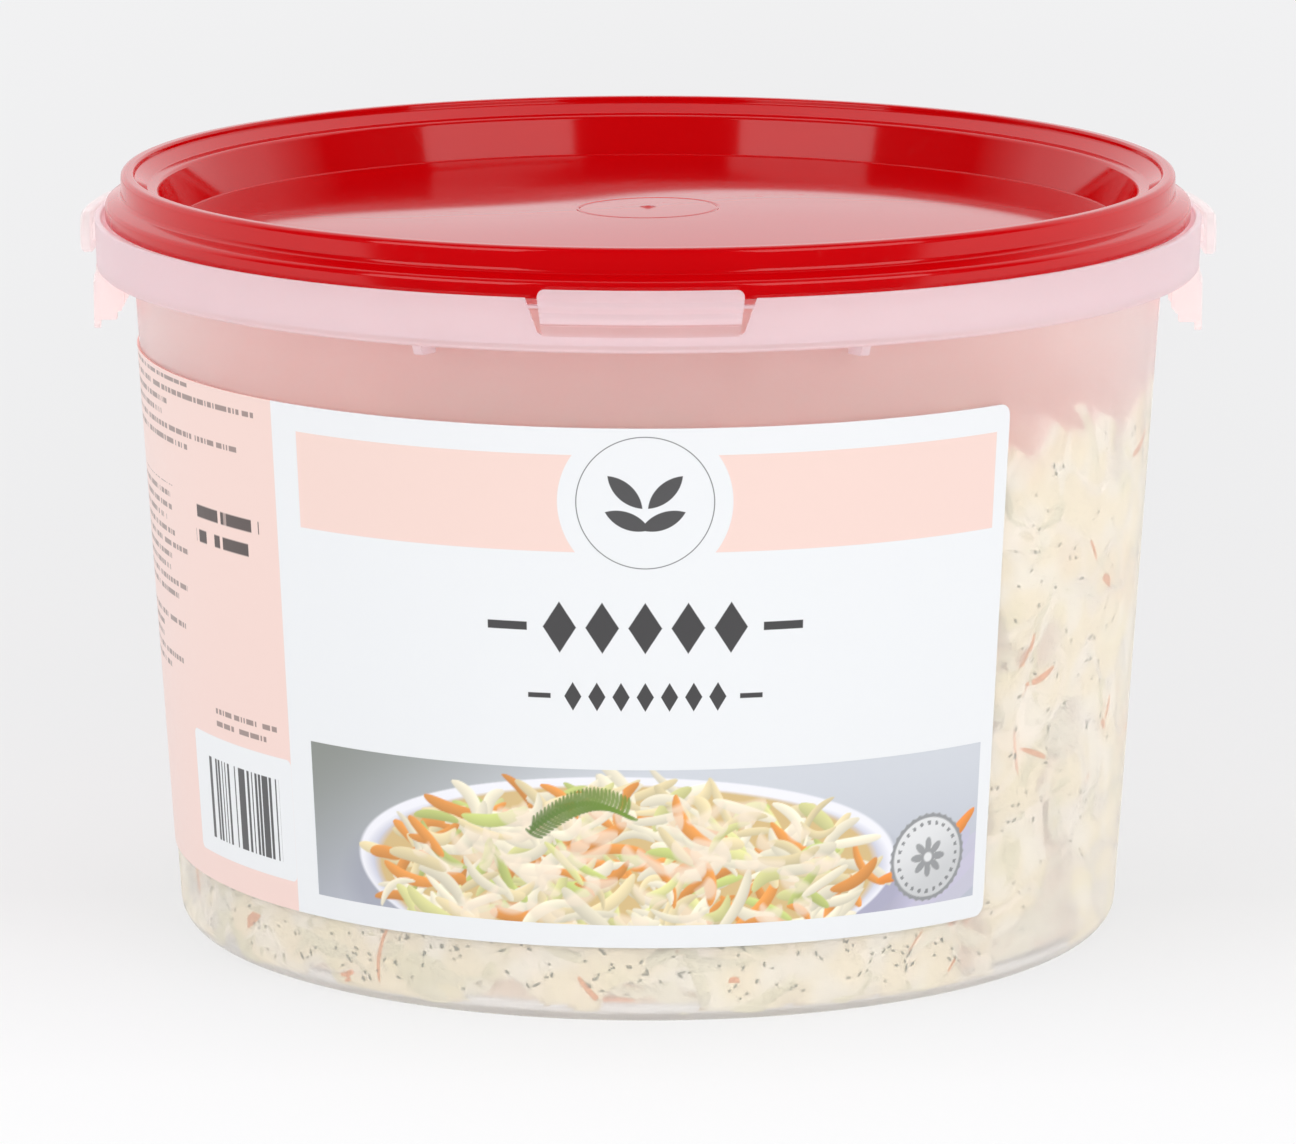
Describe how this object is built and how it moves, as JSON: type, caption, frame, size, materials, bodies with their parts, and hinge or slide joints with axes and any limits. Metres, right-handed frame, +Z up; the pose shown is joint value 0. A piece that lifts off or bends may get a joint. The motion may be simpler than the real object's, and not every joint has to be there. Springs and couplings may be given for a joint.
{
  "type": "tub of coleslaw",
  "caption": "Shut round plastic tub of coleslaw with a red push-fit lid, a tear collar, a wrap-around label and a bail handle lying round its back.",
  "frame": {"origin": "centre of the flat underside of the tub, on the surface that it stands on", "axes": "+Z up along the tub's axis, the tear tab and the middle of the label face -Y, the handle's pins lie along X and the handle lies round the +Y side"},
  "size_m": [0.2096, 0.2093, 0.1395],
  "materials": {
    "tub_plastic": "milky translucent polypropylene, satin outside",
    "lid_plastic": "glossy moulded plastic",
    "coleslaw": "moist creamy shreds",
    "label_film": "printed film, white and pale pink, satin",
    "handle_plastic": "milky translucent polypropylene"
  },
  "bodies": {
    "pack": {"tub": "tub_plastic", "lid": "lid_plastic", "coleslaw": "coleslaw", "label": "label_film"},
    "bail": {"handle": "handle_plastic"}
  },
  "joints": [
    {"name": "handle_swing", "type": "hinge", "parent": "pack", "child": "bail", "pos_m": [0, 0, 0.1272], "axis": [1, 0, 0], "range_deg": [0, 180]}
  ]
}
